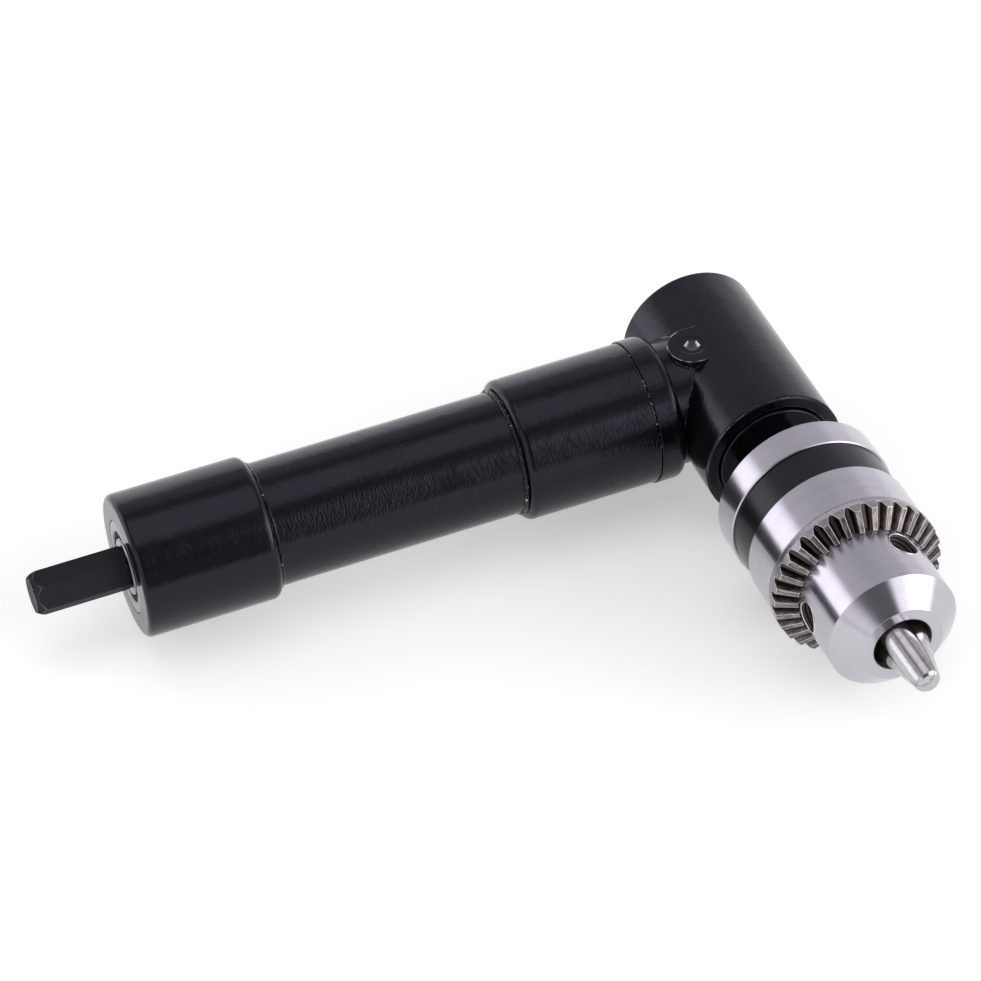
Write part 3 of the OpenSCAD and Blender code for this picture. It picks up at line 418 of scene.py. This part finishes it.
NODE_LOOK = {
    "rear_collar": "arm_paint", "arm_tube": "arm_paint", "joint_sleeve": "arm_paint",
    "head_casing": "head_paint", "head_end_cap": "head_paint", "dust_cap": "cap_paint",
    "grease_screw": "screw_paint", "bearing_spacer": "machined_arm",
    "retaining_ring": "screw_black", "input_shaft": "shank_oxide",
    "bevel_pinion": "gear_cut_arm", "pinion_pin": "machined_arm", "spindle": "spindle_oxide",
    "bevel_gear": "gear_cut", "gear_pin": "machined_chuck", "chuck_body": "turned_steel",
    "chuck_screw": "screw_black", "key_sleeve": "sleeve_steel", "sleeve_band": "band_satin",
    "nut_half_1": "gear_cut", "nut_half_2": "gear_cut",
    "jaw_1": "jaw_ground", "jaw_2": "jaw_ground", "jaw_3": "jaw_ground",
}
BEARING_LOOK = {"outer": "race_", "inner": "race_", "balls": "ball_", "cage": "brass_",
                "seals": "seal_"}
for bearing, axis in (("arm_rear_bearing_", "arm"), ("arm_front_bearing_", "arm"),
                      ("spindle_rear_bearing_", "chuck"), ("spindle_front_bearing_", "chuck")):
    for part, look in BEARING_LOOK.items():
        NODE_LOOK[bearing + part] = look + axis

for node, look in NODE_LOOK.items():
    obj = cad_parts[node]
    if not obj.material_slots:
        obj.data.materials.append(mats[look])
    for s in obj.material_slots:
        s.material = mats[look]


# ------------------------------------------------------------------ trim pieces

rng = random.Random(7)
SIDES = 8             # points round a bead
TRIM_R, TRIM_PLAY = 0.11, 0.04    # radius of a thin edge, and what may be added to it
PROUD = 0.02          # how far a seam's centre stands off the surface under it


def show(name, mesh, body=None):
    """Puts a mesh or a camera in the scene, riding on a body if one is named"""
    ob = bpy.data.objects.new(name, mesh)
    bpy.context.scene.collection.objects.link(ob)
    if body:
        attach(ob, body)
    return ob


def sweep(name, points, radii, look, body, closed=False):
    """Round bead along points in millimetres, with a radius at each point"""
    pts = [Vector(q) * MM for q in points]
    count = len(pts)
    verts, faces = [], []
    side = None
    for i, q in enumerate(pts):
        before = pts[i - 1] if i or closed else pts[0]
        after = pts[(i + 1) % count] if i < count - 1 or closed else pts[-1]
        run = (after - before).normalized()
        if side is None:
            side = run.orthogonal().normalized()
        side = (side - run * side.dot(run)).normalized()
        other = run.cross(side)
        for k in range(SIDES):
            a = 2 * math.pi * k / SIDES
            verts.append(q + (side * math.cos(a) + other * math.sin(a)) * radii[i] * MM)
    for i in range(count if closed else count - 1):
        j = (i + 1) % count
        turn = 0
        if closed and j == 0:
            # the carried frame may come back turned, so the ring is joined at its nearest point
            gaps = [(verts[i * SIDES] - verts[k]).length for k in range(SIDES)]
            turn = gaps.index(min(gaps))
        for k in range(SIDES):
            k2 = (k + 1) % SIDES
            faces.append((i * SIDES + k, i * SIDES + k2, j * SIDES + (k2 + turn) % SIDES,
                          j * SIDES + (k + turn) % SIDES))
    if not closed:
        faces.append(tuple(reversed(range(SIDES))))
        faces.append(tuple((count - 1) * SIDES + k for k in range(SIDES)))
    me = bpy.data.meshes.new(name)
    me.from_pydata([tuple(v) for v in verts], [], faces)
    me.update()
    for poly in me.polygons:
        poly.use_smooth = True
    me.materials.append(mats[look])
    return show(name, me, body)


def wobble(count, waves, size):
    """Smooth random values round a closed ring"""
    terms = [(rng.uniform(0.3, 1.0), rng.choice(waves), rng.uniform(0, 2 * math.pi))
             for _ in range(9)]
    total = sum(t[0] for t in terms)
    return [size * sum(share * math.sin(waves_round * 2 * math.pi * i / count + start)
                       for share, waves_round, start in terms) / total
            for i in range(count)]


def arm_ring(x, r, i, count):
    """Point i of a ring round the arm"""
    a = 2 * math.pi * i / count
    return (x, -r * math.sin(a), r * math.cos(a))


# Painted beads where the tube enters the collar and the joining sleeve: name, place along
# the arm, distance from its axis, and radius. They run unevenly, with so many waves round.
STEPS, SHIFT, SWELL = 360, 0.30, 0.22
SHIFT_WAVES, SWELL_WAVES = (3, 5, 9, 14, 23, 37), (4, 7, 13, 22, 41, 60)
BEADS = (("collar_bead", 28.02, 12.5, 0.46), ("joint_bead", 79.12, 12.52, 0.58))
for label, at, rise, size in BEADS:
    shift = wobble(STEPS, SHIFT_WAVES, SHIFT)
    swell = wobble(STEPS, SWELL_WAVES, SWELL)
    # the beads' worn grey patches also stand for their glints, a painted highlight
    sweep(label, [arm_ring(at + shift[i], rise, i, STEPS) for i in range(STEPS)],
          [size * (1 + swell[i]) for i in range(STEPS)], "bead_arm_glint", "housing", closed=True)

# Seam between the neck and the head, below the boss on both sides, worn grey in patches that also
# stand for its glint, a painted highlight
WELD_TOP, WELD_DROP, WELD_POINTS = 11.2, 22.0, 60
for label, sign in (("neck_weld_front", -1), ("neck_weld_rear", 1)):
    line = []
    for i in range(WELD_POINTS):
        z = WELD_TOP - WELD_DROP * i / (WELD_POINTS - 1)
        line.append((REACH - math.sqrt(HEAD_R ** 2 - z * z) - PROUD,
                     sign * (math.sqrt(NECK_R ** 2 - z * z) + PROUD), z))
    sweep(label, line, [TRIM_R + TRIM_PLAY * rng.random() for _ in line], "weld_head_glint",
          "housing")

# Boss on the neck: a half circle towards the arm, with straight sides running to the head
BOSS_AT, BOSS_LEAN, BOSS_R, BOSS_TOP = 119.8, 3, 4.95, 13.6
EDGE_IN, EDGE_SIDE, FOOT_SIDE, SIDE_POINTS, ARC_POINTS = 0.05, 2.3, 2.0, 6, 40


def boss_point(u, v, w):
    """Point in the boss's own leaning frame"""
    t = math.radians(BOSS_LEAN)
    return (BOSS_AT + u, v * math.cos(t) - w * math.sin(t), v * math.sin(t) + w * math.cos(t))


def half_turn(i):
    """Angle of point i on the boss's half circle, from the front side to the rear side"""
    return math.radians(-90 - 180 * i / ARC_POINTS)


edge_r, edge_w = BOSS_R - EDGE_IN, BOSS_TOP - EDGE_IN
edge = [boss_point(EDGE_SIDE * (1 - i / SIDE_POINTS), -BOSS_R + EDGE_IN, edge_w)
        for i in range(SIDE_POINTS)]
for i in range(ARC_POINTS + 1):
    a = half_turn(i)
    edge.append(boss_point(edge_r * math.cos(a), edge_r * math.sin(a), edge_w))
edge += [boss_point(EDGE_SIDE * (i + 1) / SIDE_POINTS, edge_r, edge_w)
         for i in range(SIDE_POINTS)]
# the boss's top edge, worn grey in patches that also stand for its glint, a painted highlight
sweep("boss_edge", edge, [TRIM_R] * len(edge), "edge_head_glint", "housing")

# the boss's foot seam, worn grey in patches that also stand for its glint, a painted highlight
foot = []
for i in range(-SIDE_POINTS, ARC_POINTS + 1 + SIDE_POINTS):
    if i < 0:
        u, v = -FOOT_SIDE * i / SIDE_POINTS, -BOSS_R
    elif i > ARC_POINTS:
        u, v = FOOT_SIDE * (i - ARC_POINTS) / SIDE_POINTS, BOSS_R
    else:
        a = half_turn(i)
        u, v = BOSS_R * math.cos(a), BOSS_R * math.sin(a)
    foot.append(boss_point(u, v, math.sqrt(NECK_R ** 2 - v * v) + PROUD))
sweep("boss_foot", foot, [TRIM_R + TRIM_PLAY * rng.random() for _ in foot], "weld_head_glint",
      "housing")

# Grease screw with a tapered hex socket, turned as the photo shows it
SCREW_R, SCREW_TOP, SCREW_LEN = 2.45, 13.55, 4.6
SOCKET_R, SOCKET_ROOT, SOCKET_DEEP, SOCKET_TURN = 1.64, 0.16, 1.65, 38.7
ROUND = 48            # points round the screw, and eight to a flat of its socket
PER_FLAT = ROUND // 6
# the screw's side, from below: radius and height
rows = [(SCREW_R, SCREW_TOP - SCREW_LEN), (SCREW_R, SCREW_TOP - 0.12),
        (SCREW_R - 0.04, SCREW_TOP - 0.035), (SCREW_R - 0.12, SCREW_TOP)]
verts, faces, inner = [], [], []
for r, w in rows:
    for i in range(ROUND):
        a = 2 * math.pi * i / ROUND
        verts.append(boss_point(r * math.cos(a), r * math.sin(a), w))
for row in range(len(rows) - 1):
    for i in range(ROUND):
        j = (i + 1) % ROUND
        low, high = row * ROUND, (row + 1) * ROUND
        faces.append((low + i, low + j, high + j, high + i))
faces.append(tuple(reversed(range(ROUND))))
top, mouth = (len(rows) - 1) * ROUND, len(rows) * ROUND
for r, w in ((SOCKET_R, SCREW_TOP), (SOCKET_ROOT, SCREW_TOP - SOCKET_DEEP)):
    for i in range(6):
        for k in range(PER_FLAT):
            a, b = (math.radians(SOCKET_TURN + 60 * (i + e)) for e in (0, 1))
            f = k / PER_FLAT
            verts.append(boss_point(r * (math.cos(a) * (1 - f) + math.cos(b) * f),
                                    r * (math.sin(a) * (1 - f) + math.sin(b) * f), w))
# the mouth's points start at the socket's turn, the rim's at zero
skip = round(SOCKET_TURN / 360 * ROUND)
for i in range(ROUND):
    j = (i + 1) % ROUND
    a, b = (i + skip) % ROUND, (j + skip) % ROUND
    faces.append((top + a, top + b, mouth + j, mouth + i))
    inner.append(len(faces))
    faces.append((mouth + i, mouth + j, mouth + ROUND + j, mouth + ROUND + i))
inner.append(len(faces))
faces.append(tuple(mouth + ROUND + i for i in range(ROUND)))
me = bpy.data.meshes.new("screw_socket")
me.from_pydata([tuple(c * MM for c in v) for v in verts], [], faces)
me.update()
me.materials.append(mats["screw_paint"])
me.materials.append(mats["socket_steel"])
for i in inner:
    me.polygons[i].material_index = 1
screw = show("screw_with_socket", me, "housing")
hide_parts("grease_screw")


def head_ring(depth, r, i, count):
    """Point i of a ring round the chuck's axis"""
    a = 2 * math.pi * i / count
    return (REACH + r * math.cos(a), -depth, r * math.sin(a))


# Worn rims of the head's open front and of the bore inside it, whose grey patches also stand for
# their glints, a painted highlight: name, depth and radius
RIM_POINTS, RIM_SIZE = 180, 0.08
RIMS = (("head_rim", 23.80, 14.30), ("head_bore_rim", 23.83, 12.12))
for label, depth, r in RIMS:
    sweep(label, [head_ring(depth, r, i, RIM_POINTS) for i in range(RIM_POINTS)],
          [RIM_SIZE] * RIM_POINTS, "weld_head_glint", "housing", closed=True)

# Broken edges of the three key holes
NOSE_R, KEY_R, KEY_AT = 13.2, 3.0, 68.97
KEY_TURNS, KEY_POINTS, KEY_RIM = (59, 179, 299), 72, 0.17
RIM_OUT, RIM_SUNK = 0.06, 0.03    # from the hole's wall, and under the nose's surface
for number, turn in enumerate(KEY_TURNS):
    t = math.radians(turn)
    rim = []
    for i in range(KEY_POINTS):
        a = 2 * math.pi * i / KEY_POINTS
        side, ahead = (KEY_R + RIM_OUT) * math.sin(a), (KEY_R + RIM_OUT) * math.cos(a)
        out = math.sqrt(NOSE_R ** 2 - side * side) - RIM_SUNK
        rim.append((REACH + out * math.cos(t) - side * math.sin(t), -(KEY_AT + ahead),
                    out * math.sin(t) + side * math.cos(t)))
    sweep("key_hole_rim_%d" % (number + 1), rim, [KEY_RIM] * KEY_POINTS, "hole_rim", "output",
          closed=True)


# ------------------------------------------------------------------------ stage

FLOOR_GLOW = 0.385    # added for the camera and for reflections, so that the floor shows white
FLOOR_HALF = 6.0      # metres
FLOOR_Z = -0.0176     # metres
FLOOR_COLOURS = (0.855, 0.875, 0.825), (0.87, 0.89, 0.84)


def floor_material():
    """White ground with a soft shadow"""
    m = bpy.data.materials.new("floor_white")
    m.use_nodes = True
    n = Net(m.node_tree)
    out = n.add("ShaderNodeOutputMaterial")
    dif = n.add("ShaderNodeBsdfDiffuse")
    tc = n.add("ShaderNodeTexCoord")
    speck = n.step(n.noise(tc.outputs["Object"], 40.0, 2.0), 0.3, 0.7)
    n.put(dif.inputs["Color"], n.mix(speck, *FLOOR_COLOURS))
    emi = n.add("ShaderNodeEmission")
    emi.inputs["Color"].default_value = (1, 1, 1, 1)
    lp = n.add("ShaderNodeLightPath")
    seen = n.math("MAXIMUM", lp.outputs["Is Camera Ray"],
                  n.math("MAXIMUM", lp.outputs["Is Glossy Ray"],
                         lp.outputs["Is Transmission Ray"]))
    n.put(emi.inputs["Strength"], n.math("MULTIPLY", seen, FLOOR_GLOW))
    add = n.add("ShaderNodeAddShader")
    n.l.new(dif.outputs[0], add.inputs[0])
    n.l.new(emi.outputs[0], add.inputs[1])
    n.l.new(add.outputs[0], out.inputs["Surface"])
    return m


mesh = bpy.data.meshes.new("floor")
mesh.from_pydata([(x * FLOOR_HALF, y * FLOOR_HALF, FLOOR_Z)
                  for x, y in ((-1, -1), (1, -1), (1, 1), (-1, 1))], [], [(0, 1, 2, 3)])
mesh.materials.append(floor_material())
show("floor", mesh)

# World: a plain grey room with soft panels, placed by azimuth from +Y towards +X and height
world = bpy.data.worlds.new("studio")
bpy.context.scene.world = world
world.use_nodes = True
w = Net(world.node_tree)
wout = w.add("ShaderNodeOutputWorld")
bg = w.add("ShaderNodeBackground")
w.l.new(bg.outputs[0], wout.inputs["Surface"])
tc = w.add("ShaderNodeTexCoord")
dx, dy, dz = w.split(tc.outputs["Generated"])
az = w.math("MULTIPLY", w.math("ARCTAN2", dx, dy), 180 / math.pi)
el = w.math("MULTIPLY", w.math("ARCSINE", dz), 180 / math.pi)


def panel(az0, az1, el0, el1, soft_az, soft_el):
    """Mask of a soft rectangle on the sky"""
    mid = (az0 + az1) / 2
    half = (az1 - az0) / 2
    d = w.math("ABSOLUTE", w.math("WRAP", w.math("SUBTRACT", az, mid), 180.0, -180.0))
    a = w.step(d, half - soft_az, half + soft_az, 1.0, 0.0)
    e = w.math("MULTIPLY", w.step(el, el0 - soft_el, el0 + soft_el),
               w.step(el, el1 - soft_el, el1 + soft_el, 1.0, 0.0))
    return w.math("MULTIPLY", a, e)


ROOM = 0.65           # strength where there is no panel
WORLD_COLOUR = (1.0, 0.975, 1.045, 1.0)
PANELS = [
    # az from, az to, el from, el to, value, soft az, soft el
    (-200, 200, 50, 68, 0.36, 4, 5),     # dim ring under the overhead lamp
    (-34, 26, -30, 25, 1.40, 4, 4),      # back wall
    (26, 75, -30, 25, 0.94, 7, 4),       # back wall, right part
    (-76, -39, -30, 29, 1.98, 2, 4),     # bright panel, back left
    (-200, 200, 67, 91, 1.14, 4, 5),     # overhead
    (-150, -98, 3, 42, 1.16, 5, 6),      # left front
    (96, 162, -30, 42, 1.85, 4, 4),      # soft box, right front
    (112, 140, 4, 32, 4.6, 5, 5),        # its bright middle
    (165, 214, -30, 20, 0.28, 4, 5),     # low front
    (166, 214, 20, 62, 0.15, 4, 5),      # dark round the camera
]
level = ROOM
for a0, a1, e0, e1, val, sa, se in PANELS:
    k = panel(a0, a1, e0, e1, sa, se)
    mixer = w.add("ShaderNodeMix", data_type="FLOAT")
    w.put(mixer.inputs[0], k)
    w.put(mixer.inputs[2], level)
    w.put(mixer.inputs[3], val)
    level = mixer.outputs[0]
w.put(bg.inputs["Strength"], level)
bg.inputs["Color"].default_value = WORLD_COLOUR

# ----------------------------------------------------------------------- camera

# Solved from the photo: place, right, up and forward, in metres
LENS, SENSOR = 160.32, 36.0
CAM_AT = Vector((-0.12782, -0.618968, 0.570064))
CAM_R = Vector((0.93002605, -0.36244839, -0.06068539))
CAM_U = Vector((0.28384587, 0.60358911, 0.74505819))
CAM_F = Vector((0.2334161, 0.71014882, -0.66423308))
cam = show("camera", bpy.data.cameras.new("camera"))
cam.data.lens = LENS
cam.data.sensor_width = SENSOR
cam.data.clip_start = 0.01
cam.data.clip_end = 50.0
rot = cam.matrix_world.copy()
for i in range(3):
    rot[i][0] = CAM_R[i]
    rot[i][1] = CAM_U[i]
    rot[i][2] = -CAM_F[i]
    rot[i][3] = CAM_AT[i]
cam.matrix_world = rot
bpy.context.scene.camera = cam
bpy.context.scene.view_settings.view_transform = "Standard"
